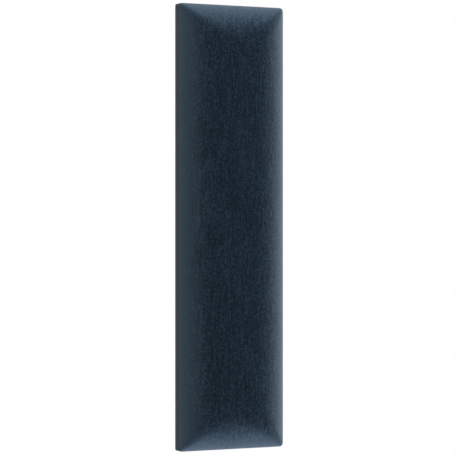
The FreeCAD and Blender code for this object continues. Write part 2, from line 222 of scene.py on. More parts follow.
class Skin:
    """Rings of points on a rounded rectangle, from the back of the pad to its flat middle."""

    def __init__(self, half_wide, half_tall, corner, across=CELLS_ACROSS, up=CELLS_UP):
        self.half_wide, self.half_tall, self.corner = half_wide, half_tall, corner
        self.across, self.up = across, up
        self.unit = perimeter(across, up)
        self.points, self.bases, self.hangs, self.labels = [], [], [], []

    def ring(self, inset, y, label, radius=None, down=0.0):
        """Adds a ring; `down` is the length of cloth from the front of the rim down to it."""
        if radius is None:
            radius = min(self.corner + ROUND_GROWTH * inset, ROUND_LIMIT * (self.half_wide - inset))
        spots, _ = rounded(self.unit, self.half_wide - inset, self.half_tall - inset, radius)
        rim_spots, outward = rounded(self.unit, self.half_wide, self.half_tall, self.corner)
        self.points.append(np.stack([spots[:, 0], np.full(len(spots), y), spots[:, 1]], 1))
        self.bases.append(rim_spots if down else spots)
        self.hangs.append(outward * down)
        self.labels += [label] * len(spots)

    def fill(self, y, label):
        """Closes the last ring with a flat grid and returns all faces."""
        rings, count = len(self.points), len(self.unit)
        low, high = self.points[-1][0], self.points[-1][self.across + self.up]
        x = low[0] + (high[0] - low[0]) * (crowded(self.across)[1:-1] + 1) / 2
        z = low[2] + (high[2] - low[2]) * (crowded(self.up)[1:-1] + 1) / 2
        x, z = (grid.ravel() for grid in np.meshgrid(x, z))
        faces = ring_faces(rings, count)
        faces += middle_grid(rings * count, (rings - 1) * count, self.across, self.up)
        self.points.append(np.stack([x, np.full(len(x), y), z], 1))
        self.bases.append(np.stack([x, z], 1))
        self.hangs.append(np.zeros((len(x), 2)))
        self.labels += [label] * len(x)
        return faces

    def is_in(self, *labels):
        """Which points belong to the parts with these labels."""
        return np.isin(self.labels, labels)

    def all_points(self):
        return np.concatenate(self.points)

    def cloth_places(self, profile):
        """Each point's place on the flat cloth, which the slope `profile` uses up faster."""
        insets, spare = spare_cloth(profile)
        bases = np.concatenate(self.bases)
        inset = np.array([self.half_wide, self.half_tall]) - np.abs(bases)
        extra = np.interp(inset, insets, spare)
        return bases + np.sign(bases) * extra + np.concatenate(self.hangs)


# ---------------------------------------------------------------- materials

YARN = 1.5 * MM
WARP_RUN = 4.5 * MM             # how far a warp yarn keeps its brightness
SLUB_RUN = 26 * MM              # the same for the long slubs in it
SLUB_SHARE = 0.45
WEFT_RUN = 5 * MM
WEAVE = 0.76                    # contrast of the weave in the middle of the pad
# The weave fades towards the edges as painted sheen, more on the left than on the right or the ends.
LEFT_SHEEN_FADE = (6 * MM, 46 * MM, 0.15)     # from, to, and what is left of the weave at the start
RIGHT_SHEEN_FADE = (0.0, 34 * MM, 0.4)
END_SHEEN_FADE = (8 * MM, 32 * MM, 0.35)
DRIFT = 0.15 * YARN             # how far a yarn strays from its straight line
MIDDLE_SHADE = 0.45             # the place of the usual yarn between the dark and light ones
PILE_DYES = ((0.0040, 0.0130, 0.0240), (0.0088, 0.0272, 0.0480), (0.0215, 0.0530, 0.0850))
# A darker copy of the velour with less sheen, for the long side walls and the folded-back cloth: painted
# shade that keeps the side wall as dark as the slope beside it.
SHADED_COPY_DYES = ((0.0040, 0.0090, 0.0146), (0.0083, 0.0180, 0.0287), (0.0176, 0.0350, 0.0530))
PILE_SHEEN = 0.145
SHADED_COPY_SHEEN = 0.030
SHEEN_TINT = (0.86, 0.97, 1.0)


def new_material(name):
    """A node material, its tree and its Principled shader."""
    material = bpy.data.materials.new(name)
    material.use_nodes = True
    tree = material.node_tree
    shader = tree.nodes["Principled BSDF"]
    return material, tree, shader


def node(tree, kind, **settings):
    """A new node; a setting named in_Something is the default of that input."""
    made = tree.nodes.new(kind)
    for key, value in settings.items():
        if key.startswith("in_"):
            made.inputs[key[3:].replace("_", " ")].default_value = value
        else:
            setattr(made, key, value)
    return made


def scaled(tree, source, output, across, along, depth=1.0):
    """Coordinates counted in features: `across`, `along` and `depth` are a feature's size."""
    made = node(tree, "ShaderNodeMapping")
    made.inputs["Scale"].default_value = (1 / across, 1 / along, 1 / depth)
    tree.links.new(source.outputs[output], made.inputs["Vector"])
    return made


def noise(tree, vector, detail=2.0, roughness=0.5):
    made = node(tree, "ShaderNodeTexNoise", in_Scale=1.0, in_Detail=detail, in_Roughness=roughness)
    tree.links.new(vector.outputs[0], made.inputs["Vector"])
    return made


def mapped(tree, source, output, low, high, to_low, to_high):
    """A smooth change from `to_low` to `to_high` while the source goes from `low` to `high`."""
    made = node(tree, "ShaderNodeMapRange", interpolation_type="SMOOTHSTEP")
    made.inputs["From Min"].default_value = low
    made.inputs["From Max"].default_value = high
    made.inputs["To Min"].default_value = to_low
    made.inputs["To Max"].default_value = to_high
    tree.links.new(source.outputs[output], made.inputs["Value"])
    return made


def combined(tree, operation, first, second):
    """A Math node on two inputs, each a node (its first output) or a number."""
    made = node(tree, "ShaderNodeMath", operation=operation)
    for slot, value in enumerate((first, second)):
        if isinstance(value, (int, float)):
            made.inputs[slot].default_value = value
        else:
            tree.links.new(value.outputs[0], made.inputs[slot])
    return made


def ramp(tree, source, stops):
    """A colour for each value of the source, from (place, colour) stops."""
    made = node(tree, "ShaderNodeValToRGB")
    tree.links.new(source.outputs[0], made.inputs["Fac"])
    elements = made.color_ramp.elements
    while len(elements) < len(stops):
        elements.new(0.5)
    for element, (place, colour) in zip(elements, stops):
        element.position = place
        element.color = (*colour, 1)
    return made


def bump(tree, shader, height, distance, strength=1.0):
    made = node(tree, "ShaderNodeBump", in_Strength=strength, in_Distance=distance)
    tree.links.new(height.outputs[0], made.inputs["Height"])
    tree.links.new(made.outputs["Normal"], shader.inputs["Normal"])


def yarns(tree, cross, run, length, seed, low=0.40, high=0.62):
    """Brightness of a set of parallel yarns: each yarn changes along its run, neighbours differ."""
    index = combined(tree, "FLOOR", combined(tree, "DIVIDE", cross, YARN), 0.0)
    place = node(tree, "ShaderNodeCombineXYZ")
    tree.links.new(combined(tree, "MULTIPLY", index, 3.7).outputs[0], place.inputs["X"])
    tree.links.new(combined(tree, "DIVIDE", run, length).outputs[0], place.inputs["Y"])
    place.inputs["Z"].default_value = seed
    return mapped(tree, noise(tree, place, detail=1.0), "Fac", low, high, 0, 1)


def yarn_profile(tree, cross):
    """Height across each yarn, 0 in the gaps and 1 on its back."""
    turn = combined(tree, "MULTIPLY", cross, math.pi / YARN)
    return combined(tree, "ABSOLUTE", combined(tree, "SINE", turn, 0.0), 0.0)


def weave_strength(tree, axes, cloth_wide, cloth_tall):
    """How clearly the weave shows: fully in the middle, less towards the edges and least on the left. The
    fade is painted sheen, flattening the weave where sheen would wash it out.
    """
    from_left = combined(tree, "ADD", axes, cloth_wide)
    from_right = combined(tree, "SUBTRACT", cloth_wide, axes)
    height = node(tree, "ShaderNodeMath", operation="ABSOLUTE")
    tree.links.new(axes.outputs["Y"], height.inputs[0])
    from_end = combined(tree, "SUBTRACT", cloth_tall, height)
    left = mapped(tree, from_left, "Value", *LEFT_SHEEN_FADE, 1)
    right = mapped(tree, from_right, "Value", *RIGHT_SHEEN_FADE, 1)
    end = mapped(tree, from_end, "Value", *END_SHEEN_FADE, 1)
    sides = combined(tree, "MULTIPLY", left, right)
    return combined(tree, "MULTIPLY", combined(tree, "MULTIPLY", sides, end), WEAVE)


def velour(name, dyes, sheen):
    """Velour with a linen-like slub: uneven yarns both ways, under a short pile that shines.

    `dyes` are the colours of its dark, usual and light yarns.
    """
    material, tree, shader = new_material(name)
    _, spare = spare_cloth(slope_profile(RIM - FRONT, PILLOW_RUN, SLOPE_RINGS))
    place = node(tree, "ShaderNodeUVMap", uv_map="cloth")
    drift = noise(tree, scaled(tree, place, "UV", 30 * MM, 30 * MM), detail=1.0)
    drift = mapped(tree, drift, "Fac", 0.3, 0.7, -DRIFT, DRIFT)
    axes = node(tree, "ShaderNodeSeparateXYZ")
    tree.links.new(place.outputs["UV"], axes.inputs[0])
    across = combined(tree, "ADD", axes, drift)
    upward = node(tree, "ShaderNodeMath", operation="ADD")
    tree.links.new(axes.outputs["Y"], upward.inputs[0])
    tree.links.new(drift.outputs[0], upward.inputs[1])
    fine = yarns(tree, across, upward, WARP_RUN, 0.0)
    slubs = yarns(tree, across, upward, SLUB_RUN, 17.0)
    warp = combined(tree, "ADD", combined(tree, "MULTIPLY", fine, 1 - SLUB_SHARE),
                    combined(tree, "MULTIPLY", slubs, SLUB_SHARE))
    weft = yarns(tree, upward, across, WEFT_RUN, 40.0)
    patch = noise(tree, scaled(tree, place, "UV", 8 * MM, 11 * MM), detail=2.0)
    weft_share = mapped(tree, patch, "Fac", 0.50, 0.62, 0.10, 0.70)
    weave = node(tree, "ShaderNodeMix", data_type="FLOAT")
    tree.links.new(weft_share.outputs[0], weave.inputs["Factor"])
    tree.links.new(warp.outputs[0], weave.inputs["A"])
    tree.links.new(weft.outputs[0], weave.inputs["B"])
    nap = noise(tree, scaled(tree, place, "UV", 45 * MM, 80 * MM), detail=1.0)
    change = combined(tree, "ADD", combined(tree, "SUBTRACT", weave, MIDDLE_SHADE),
                      mapped(tree, nap, "Fac", 0.3, 0.7, -0.08, 0.08))
    # The weave's contrast fades towards the edges: painted sheen.
    strength = weave_strength(tree, axes, HALF_WIDE + spare[0], HALF_TALL + spare[0])
    shade = combined(tree, "ADD", combined(tree, "MULTIPLY", change, strength), MIDDLE_SHADE)
    colour = ramp(tree, shade, list(zip((0.05, MIDDLE_SHADE, 0.95), dyes)))
    tree.links.new(colour.outputs["Color"], shader.inputs["Base Color"])
    pile = noise(tree, scaled(tree, place, "UV", 0.35 * MM, 0.5 * MM), detail=3.0)
    backs = combined(tree, "MAXIMUM", combined(tree, "MULTIPLY", yarn_profile(tree, across), warp),
                     combined(tree, "MULTIPLY", yarn_profile(tree, upward), weft))
    height = combined(tree, "ADD", combined(tree, "MULTIPLY", backs, strength),
                      combined(tree, "MULTIPLY", pile, 0.6))
    bump(tree, shader, height, 0.25 * MM, 0.3)
    shader.inputs["Roughness"].default_value = 0.95
    shader.inputs["Specular IOR Level"].default_value = 0.0
    shader.inputs["Sheen Weight"].default_value = sheen
    shader.inputs["Sheen Roughness"].default_value = 0.50
    shader.inputs["Sheen Tint"].default_value = (*SHEEN_TINT, 1)
    return material


def object_place(tree):
    """The node whose Object output is a point's place in the frame."""
    return node(tree, "ShaderNodeTexCoord")


def dust_cloth():
    """Spun-bonded cloth: matted fibres pressed together at a grid of small points."""
    material, tree, shader = new_material("dust_cloth")
    place = object_place(tree)
    fibre = noise(tree, scaled(tree, place, "Object", 0.5 * MM, 1, 2.2 * MM), detail=4.0)
    cloud = noise(tree, scaled(tree, place, "Object", 9 * MM, 9 * MM, 9 * MM))
    points = node(tree, "ShaderNodeTexVoronoi", feature="F1", in_Scale=1.0, in_Randomness=0.12)
    tree.links.new(scaled(tree, place, "Object", 1.5 * MM, 10, 1.5 * MM).outputs[0],
                   points.inputs["Vector"])
    dimple = mapped(tree, points, "Distance", 0.12, 0.34, 0, 1)
    shade = combined(tree, "ADD", combined(tree, "MULTIPLY", fibre, 0.7),
                     combined(tree, "MULTIPLY", cloud, 0.3))
    colour = ramp(tree, shade, [(0.3, (0.0085, 0.0098, 0.0115)), (0.7, (0.025, 0.029, 0.034))])
    tree.links.new(colour.outputs["Color"], shader.inputs["Base Color"])
    height = combined(tree, "ADD", combined(tree, "MULTIPLY", dimple, 0.7),
                      combined(tree, "MULTIPLY", fibre, 0.5))
    bump(tree, shader, height, 0.2 * MM, 0.8)
    shader.inputs["Roughness"].default_value = 0.8
    shader.inputs["Specular IOR Level"].default_value = 0.3
    return material


def clip_aluminium():
    """Extruded aluminium: fine lines along the extrusion, a few scratches, dull and bright areas."""
    material, tree, shader = new_material("clip_aluminium")
    place = object_place(tree)
    lines = noise(tree, scaled(tree, place, "Object", 30 * MM, 0.5 * MM, 0.25 * MM), detail=3.0)
    cloud = noise(tree, scaled(tree, place, "Object", 12 * MM, 12 * MM, 12 * MM), detail=3.0)
    scratch = noise(tree, scaled(tree, place, "Object", 0.25 * MM, 1, 14 * MM), detail=1.0)
    marks = mapped(tree, scratch, "Fac", 0.68, 0.76, 0, 1)
    shade = combined(tree, "ADD", combined(tree, "MULTIPLY", cloud, 0.7),
                     combined(tree, "MULTIPLY", lines, 0.3))
    colour = ramp(tree, shade, [(0.3, (0.52, 0.53, 0.55)), (0.7, (0.74, 0.75, 0.77))])
    tree.links.new(colour.outputs["Color"], shader.inputs["Base Color"])
    rough = combined(tree, "ADD", mapped(tree, shade, "Value", 0.3, 0.7, 0.30, 0.44),
                     combined(tree, "MULTIPLY", marks, -0.12))
    tree.links.new(rough.outputs[0], shader.inputs["Roughness"])
    height = combined(tree, "SUBTRACT", lines, marks)
    bump(tree, shader, height, 0.03 * MM, 0.5)
    shader.inputs["Metallic"].default_value = 1.0
    return material


def zinc(name, dark, light):
    """Zinc-plated steel: faintly mottled, with small bright and dull grains."""
    material, tree, shader = new_material(name)
    place = object_place(tree)
    grain = noise(tree, scaled(tree, place, "Object", 0.6 * MM, 0.6 * MM, 0.6 * MM), detail=3.0)
    colour = ramp(tree, grain, [(0.35, dark), (0.65, light)])
    tree.links.new(colour.outputs["Color"], shader.inputs["Base Color"])
    rough = mapped(tree, grain, "Fac", 0.3, 0.7, 0.22, 0.4)
    tree.links.new(rough.outputs[0], shader.inputs["Roughness"])
    bump(tree, shader, grain, 0.02 * MM, 0.4)
    shader.inputs["Metallic"].default_value = 1.0
    return material


def bumper_rubber():
    """Matte moulded rubber with a fine grain and a little dust."""
    material, tree, shader = new_material("bumper_rubber")
    place = object_place(tree)
    grain = noise(tree, scaled(tree, place, "Object", 0.3 * MM, 0.3 * MM, 0.3 * MM), detail=2.0)
    dust = noise(tree, scaled(tree, place, "Object", 3 * MM, 3 * MM, 3 * MM), detail=4.0)
    colour = ramp(tree, dust, [(0.4, (0.012, 0.013, 0.0145)), (0.75, (0.040, 0.043, 0.047))])
    tree.links.new(colour.outputs["Color"], shader.inputs["Base Color"])
    bump(tree, shader, grain, 0.05 * MM, 0.5)
    shader.inputs["Roughness"].default_value = 0.62
    return material


def board_fibre():
    """Fibreboard: pressed wood fibres in layers across its thickness."""
    material, tree, shader = new_material("board_fibre")
    place = object_place(tree)
    fibre = noise(tree, scaled(tree, place, "Object", 2.5 * MM, 0.4 * MM, 2.5 * MM), detail=5.0)
    speck = noise(tree, scaled(tree, place, "Object", 0.7 * MM, 0.7 * MM, 0.7 * MM), detail=2.0)
    shade = combined(tree, "ADD", combined(tree, "MULTIPLY", fibre, 0.7),
                     combined(tree, "MULTIPLY", speck, 0.3))
    colour = ramp(tree, shade, [(0.3, (0.24, 0.15, 0.085)), (0.7, (0.42, 0.29, 0.175))])
    tree.links.new(colour.outputs["Color"], shader.inputs["Base Color"])
    bump(tree, shader, shade, 0.08 * MM, 0.5)
    shader.inputs["Roughness"].default_value = 0.85
    return material


def foam(name, dark, light, cell):
    """Cut foam: small open cells with thin bright walls and darker middles; the darker middles are painted
    shade in the open pores.
    """
    material, tree, shader = new_material(name)
    place = object_place(tree)
    cells = node(tree, "ShaderNodeTexVoronoi", feature="DISTANCE_TO_EDGE", in_Scale=1.0)
    tree.links.new(scaled(tree, place, "Object", cell, cell, cell).outputs[0],
                   cells.inputs["Vector"])
    walls = mapped(tree, cells, "Distance", 0.02, 0.3, 1, 0)
    # Dark in the cell middles: painted shade in the pores.
    colour = ramp(tree, walls, [(0.1, dark), (0.9, light)])
    tree.links.new(colour.outputs["Color"], shader.inputs["Base Color"])
    bump(tree, shader, walls, 0.4 * cell, 0.7)
    shader.inputs["Roughness"].default_value = 0.95
    shader.inputs["Specular IOR Level"].default_value = 0.1
    return material


def wadding_fluff():
    """Polyester wadding: soft white fibres in loose swirls."""
    material, tree, shader = new_material("wadding")
    place = object_place(tree)
    swirl = noise(tree, scaled(tree, place, "Object", 4 * MM, 4 * MM, 4 * MM), detail=6.0)
    colour = ramp(tree, swirl, [(0.3, (0.62, 0.62, 0.62)), (0.7, (0.86, 0.86, 0.85))])
    tree.links.new(colour.outputs["Color"], shader.inputs["Base Color"])
    bump(tree, shader, swirl, 1.0 * MM, 0.6)
    shader.inputs["Roughness"].default_value = 1.0
    shader.inputs["Specular IOR Level"].default_value = 0.05
    return material


# ---------------------------------------------------------------- the velour cover

COVER_THICK = 0.9 * CLOTH       # a little less than the CAD cloth, so it stays clear of the wadding
RIM_SHARES = (0.22, 0.45, 0.68, 0.86, 0.95, 1.0)    # heights of the rings on the straight rim
TURN_SHARES = (0.25, 0.55)      # extra rings where the rim turns into the slope
TUCK_WIDE = 8 * MM              # a folded flap at each back corner
TUCK_SOFT = 1.6 * MM            # width of its rounded edge
TUCK_HIGH = 0.9 * MM
TUCK_GROOVE = 0.7 * MM          # dip along the diagonal between two flaps
GROOVE_WIDE = 1.5 * MM
TUCK_START = (2 * MM, 6 * MM)   # the flaps rise over this distance from the pad's edge
TUCK_END = (10 * MM, 14 * MM)   # and sink over this one, before the dust cover begins
PUCKER_DEEP = 0.25 * MM
HIDDEN_PITCH = 35 * MM          # between the staples that hold the folded cloth
SIM_FRAMES = 20
SIM_CAP = 1.5 * MM              # how far the simulation may move a point
FRONT_HOLD = 0.35               # how firmly goals hold the front while the cloth settles
LONG_SIDE_FACING = 0.7          # a face turned this far sideways belongs to a long side and takes the painted-shade copy of the velour


def cover_rings(skin, profile):
    """From the cut edge on the back, round the back edge, up the rim and over the slope."""
    edge_arc = BACK_EDGE * math.pi / 2
    edge_y = BACK - BACK_EDGE
    rim_long = edge_y - RIM
    for step in range(RETURN_RINGS + 1):
        folded = RETURN_WIDE * (1 - step / RETURN_RINGS)
        corner = max(RETURN_CORNER, BACK_CORNER - BACK_EDGE - folded)
        skin.ring(BACK_EDGE + folded, BACK, "return", radius=corner,
                  down=rim_long + edge_arc + folded)
    for step in range(1, EDGE_RINGS + 1):
        angle = math.pi / 2 * step / EDGE_RINGS
        inset = BACK_EDGE * (1 - math.sin(angle))
        skin.ring(inset, edge_y + BACK_EDGE * math.cos(angle), "edge",
                  radius=BACK_CORNER - inset, down=rim_long + edge_arc * (1 - step / EDGE_RINGS))
    for share in RIM_SHARES:
        skin.ring(0.0, edge_y - rim_long * share, "rim", down=rim_long * (1 - share),
                  radius=BACK_CORNER + (skin.corner - BACK_CORNER) * share)
    for share in TURN_SHARES:
        inset, height = np.array(profile[1]) * share
        skin.ring(inset, RIM - height, "slope")
    for inset, height in profile[1:]:
        skin.ring(inset, RIM - height, "slope")
    skin.ring(FLAT_RUN, FRONT, "slope", radius=0.0)


def tuck_corners(skin, points):
    """Raises the folded flaps of cloth at the back corners, with a dip on the diagonal."""
    unit = np.resize(skin.unit, (len(points), 2))
    size = np.array([skin.half_wide, skin.half_tall])
    from_corner = ((1 - np.abs(unit)) * size).sum(1)
    inset = np.minimum(skin.half_wide - np.abs(points[:, 0]), skin.half_tall - np.abs(points[:, 2]))
    flap = TUCK_HIGH * (1 - smoothstep(TUCK_WIDE, TUCK_WIDE + TUCK_SOFT, from_corner))
    groove = TUCK_GROOVE * (1 - smoothstep(0, GROOVE_WIDE, from_corner))
    shown = smoothstep(*TUCK_START, inset) * (1 - smoothstep(*TUCK_END, inset))
    points[:, 1] += (flap - groove) * shown * skin.is_in("return")


def pucker_returns(skin, points):
    """Shallow pulls on the cloth folded onto the back, one at each hidden staple."""
    on_side = np.abs(points[:, 0]) > skin.half_wide - RETURN_WIDE - 2 * BACK_EDGE
    along = np.where(on_side, points[:, 2] + HIDDEN_PITCH / 2, points[:, 0])
    wave = 0.5 + 0.5 * np.cos(2 * math.pi * along / HIDDEN_PITCH)
    points[:, 1] -= PUCKER_DEEP * wave ** 3 * skin.is_in("return")


def simulate(piece, held):
    """Lets the cloth settle over the foam, with goals of strength `held` that keep its shape."""
    rest = np.array([v.co for v in piece.data.vertices])
    outward = np.array([v.normal for v in piece.data.vertices])
    group = piece.vertex_groups.new(name="held")
    for weight in np.unique(held):
        group.add([int(i) for i in np.nonzero(held == weight)[0]], float(weight), "REPLACE")
    modifier = piece.modifiers.new("settle", "CLOTH")
    cloth = modifier.settings
    cloth.quality = 6
    cloth.mass = 0.2
    cloth.tension_stiffness = 25
    cloth.compression_stiffness = 25
    cloth.shear_stiffness = 8
    cloth.bending_stiffness = 2
    cloth.vertex_group_mass = "held"
    cloth.pin_stiffness = 2.0
    cloth.use_pressure = True
    cloth.uniform_pressure_force = 0.6
    cloth.shrink_min = 0.006
    cloth.effector_weights.gravity = 0
    modifier.point_cache.frame_end = SIM_FRAMES
    scene = bpy.context.scene
    for step in range(1, SIM_FRAMES + 1):
        scene.frame_set(step)
    evaluated = piece.evaluated_get(bpy.context.evaluated_depsgraph_get())
    settled = np.array([v.co for v in evaluated.data.vertices])
    piece.modifiers.clear()
    piece.vertex_groups.clear()
    scene.frame_set(1)

    # A point only swells outwards, by SIM_CAP at most, and never past the crown.
    move = settled - rest
    lift = (move * outward).sum(1, keepdims=True)
    move += outward * (np.clip(lift, 0.0, SIM_CAP) - lift)
    reach = np.linalg.norm(move, axis=1, keepdims=True)
    move *= np.minimum(1, SIM_CAP / np.maximum(reach, 1e-9))
    final = rest + move
    final[:, 1] = np.maximum(final[:, 1], FRONT)
    piece.data.vertices.foreach_set("co", final.astype(np.float32).ravel())
    piece.data.update()


def make_cover(pile, shaded_copy):
    """The cover: the full `pile` in front, and on its long sides and folded-back cloth a darker, duller
    copy of the velour, which is painted shade.
    """
    skin = Skin(HALF_WIDE, HALF_TALL, CORNER_ROUND)
    profile = slope_profile(RIM - FRONT, PILLOW_RUN, SLOPE_RINGS)
    cover_rings(skin, profile)
    faces = skin.fill(FRONT, "middle")
    points = skin.all_points()
    tuck_corners(skin, points)
    pucker_returns(skin, points)
    cover = new_piece("velour_cover", points, faces, skin.cloth_places(profile))
    cover.data.materials.append(pile)
    cover.data.materials.append(shaded_copy)
    around = len(skin.unit)
    below_slope = skin.labels.index("slope")
    # The long side walls and the folded-back cloth take the darker, duller copy of the velour: painted
    # shade.
    for index, face in enumerate(cover.data.polygons[:below_slope]):
        on_long_side = abs(face.normal.x) > LONG_SIDE_FACING
        if on_long_side or index < RETURN_RINGS * around:
            face.material_index = 1
    simulate(cover, np.where(skin.is_in("slope", "middle"), FRONT_HOLD, 1.0))
    smooth = cover.modifiers.new("smooth", "SUBSURF")
    smooth.levels = smooth.render_levels = 1
    thick = cover.modifiers.new("thickness", "SOLIDIFY")
    thick.thickness = COVER_THICK
    thick.offset = -1
    apply_modifiers(cover)
    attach(cover, "pad")
    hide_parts("fabric_cover")


# ---------------------------------------------------------------- foam and wadding

LAYER_ACROSS = 24
LAYER_UP = 72
LAYER_STEPS = 9
LAYER_SAMPLES = 80              # points of the slope that a layer's rings are read from
LAYER_CORNER = 0.8 * MM         # the smallest corner radius of a layer


def make_layer(name, cad_node, skin_depth, low, high, material, hollow=0.0):
    """A layer that lies `skin_depth` under the cover's face, between heights `low` and `high`.

    A hollow layer has a second skin, `hollow` further in; a solid one is closed by flat faces.
    """
    def skin_rings(depth, downwards):
        skin = Skin(HALF_WIDE - depth, HALF_TALL - depth, max(CORNER_ROUND - depth, LAYER_CORNER),
                    LAYER_ACROSS, LAYER_UP)
        rise, run = RIM - FRONT - depth, PILLOW_RUN - depth
        profile = slope_profile(rise, run, LAYER_SAMPLES)
        insets = np.array([inset for inset, _ in profile])
        heights = np.array([height for _, height in profile])
        top = min(high, rise)
        for step in range(LAYER_STEPS + 1):
            height = low + (top - low) * (1 - (1 - step / LAYER_STEPS) ** 2)
            inset = float(np.interp(height, heights, insets))
            skin.ring(inset, RIM - height, "side")
        skin.ring(FLAT_RUN, RIM - top, "top", radius=0.0)
        faces = skin.fill(RIM - top, "top")
        if downwards:
            faces = [face[::-1] for face in faces]
        return skin.all_points(), faces, len(skin.unit)

    points, faces, count = skin_rings(skin_depth, False)
    if hollow:
        more_points, more_faces, _ = skin_rings(skin_depth + hollow, True)
        start = len(points)
        points = np.concatenate([points, more_points])
        faces += [tuple(start + index for index in face) for face in more_faces]
        faces += [(k, start + k, start + (k + 1) % count, (k + 1) % count) for k in range(count)]
    else:
        faces.append(tuple(range(count))[::-1])
    layer = new_piece(name, points, faces)
    tidy_normals(layer)
    layer.data.materials.append(material)
    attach(layer, "pad")
    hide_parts(cad_node)


# ---------------------------------------------------------------- staples

STAPLE_FLAT = 1.2 * MM          # the wire's width, across the crown
STAPLE_WIRE = 0.5 * MM          # its thickness
STAPLE_CROWN = 10 * MM
STAPLE_BEND = 0.8 * MM          # radius of the shoulders
STAPLE_TILT = 0.05              # the most that a crown is turned, in radians
SHOULDER_STEPS = 4
WIRE_SIDES = 12
DUST_PITCH = 70 * MM


def staple_places(box_high, pitch, side_count, end_count):
    """(x, z, whether the crown runs along Z) of each staple round a rectangle."""
    across = box_high.x - STAPLE_FLAT / 2
    up = box_high.z - STAPLE_FLAT / 2
    places = []
    for side in (-1, 1):
        for k in range(side_count):
            places.append((side * across, (k - (side_count - 1) / 2) * pitch, True))
    for end in (-1, 1):
        for k in range(end_count):
            places.append(((k - (end_count - 1) / 2) * pitch, end * up, False))
    return places


dust_places = staple_places(dust_staple_high, DUST_PITCH, side_count=8, end_count=2)
hidden_places = staple_places(hidden_staple_high, HIDDEN_PITCH, side_count=16, end_count=3)


def staple_path(leg):
    """The bent wire's middle line as (along the crown, towards the back) places."""
    half = STAPLE_CROWN / 2
    path = [(-half, -leg), (-half, -2 * STAPLE_BEND)]
    for step in range(SHOULDER_STEPS + 1):
        angle = math.pi - step * math.pi / (2 * SHOULDER_STEPS)
        path.append((-half + STAPLE_BEND + STAPLE_BEND * math.cos(angle),
                     -STAPLE_BEND + STAPLE_BEND * math.sin(angle)))
    return path + [(-along, depth) for along, depth in path[::-1]]


def wire_section():
    """The flat wire's outline with soft corners, as (thickness, width) places."""
    turns = np.linspace(0, 2 * math.pi, WIRE_SIDES, endpoint=False)
    return [(math.copysign(abs(math.cos(turn)) ** 0.5, math.cos(turn)) * STAPLE_WIRE / 2,
             math.copysign(abs(math.sin(turn)) ** 0.5, math.sin(turn)) * STAPLE_FLAT / 2)
            for turn in turns]


def make_staple(place, back, leg, chance):
    """One bent wire, turned a little, whose legs point forward. Returns points and faces."""
    x, z, upright = place
    tilt = chance.uniform(-STAPLE_TILT, STAPLE_TILT)
    path, section = staple_path(leg), wire_section()
    points = []
    for k, (u, v) in enumerate(path):
        before, after = path[max(k - 1, 0)], path[min(k + 1, len(path) - 1)]
        direction = np.array([after[0] - before[0], after[1] - before[1]])
        direction = direction / np.linalg.norm(direction)
        normal = np.array([-direction[1], direction[0]])
        for out, side in section:
            along = u + normal[0] * out
            depth = back - STAPLE_WIRE / 2 + v + normal[1] * out
            turned_along = along * math.cos(tilt) - side * math.sin(tilt)
            turned_side = along * math.sin(tilt) + side * math.cos(tilt)
            if upright:
                points.append((x + turned_side, depth, z + turned_along))
            else:
                points.append((x + turned_along, depth, z + turned_side))
    faces = ring_faces(len(path), WIRE_SIDES)
    faces.append(tuple(range(WIRE_SIDES))[::-1])
    faces.append(tuple(range((len(path) - 1) * WIRE_SIDES, len(path) * WIRE_SIDES)))
    return points, faces


def make_staples(name, cad_node, places, low, high, material, seed):
    """All staples of one kind, whose crowns and legs reach from `high` to `low`."""
    chance = random.Random(seed)
    points, faces = [], []
    for place in places:
        more_points, more_faces = make_staple(place, high.y, high.y - low.y, chance)
        start = len(points)
        points += more_points
        faces += [tuple(start + index for index in face) for face in more_faces]
    piece = new_piece(name, points, faces)
    tidy_normals(piece)
    piece.data.materials.append(material)
    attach(piece, "pad")
    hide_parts(cad_node)


# ---------------------------------------------------------------- dust cover

DUST_STEP = 2 * MM              # cell of the sheet's grid
DUST_THICK = 0.35 * MM
DUST_CORNER = 3 * MM
HEM_WIDE = 8 * MM
HEM_STEP = (HEM_WIDE - 0.4 * MM, HEM_WIDE + 0.6 * MM)
HEM_HIGH = 0.35 * MM
FLANGE = dust_high.y            # outer face of the dust cover where it lies on the folded cloth
WELL = board_high.y + 0.4 * MM  # the same where it lies on the board
LIP_OUTSIDE = 0.8 * MM          # where the sheet starts to dip, on the folded cloth
LIP_INSIDE = 2.6 * MM           # and where it reaches the board
LOOSE_LIFT = 0.35 * MM          # how far the loose middle stands off its seat
LOOSE_START = (1 * MM, 12 * MM)     # the sheet comes loose over this distance from the fold
RIPPLES = 9
CLIP_LEVEL = 200 * MM           # height of the wall screws above and below the middle
CLIP_BESIDE = (27 * MM, 36 * MM)    # a clip holds the sheet down this far beside its middle
CLIP_PAST = (62 * MM, 74 * MM)      # and this far above and below that height
MOUND_HIGH = 0.28 * MM          # over a hidden staple
MOUND_WIDE = 1.3 * MM
MOUND_END = (4.6 * MM, 6.4 * MM)
PRESS_DEEP = 0.30 * MM          # under a visible staple
PRESS_WIDE = 1.6 * MM
PRESS_END = (5 * MM, 7 * MM)
RAY_DEEP = 0.10 * MM            # beside the ends of a visible staple
RAY_LONG = 2.2 * MM
RAY_WIDE = 9 * MM


def wrinkle(x, z):
    """Faint ripples of the loose cloth, a sum of waves in random directions."""
    chance = random.Random(11)
    total = 0
    for _ in range(RIPPLES):
        amplitude = chance.uniform(0.05, 0.16) * MM
        across = chance.uniform(-160, 160)      # radians in a metre
        up = chance.uniform(-90, 90)
        phase = chance.uniform(0, 6.3)
        total = total + amplitude * np.sin(x * across + z * up + phase)
    return total


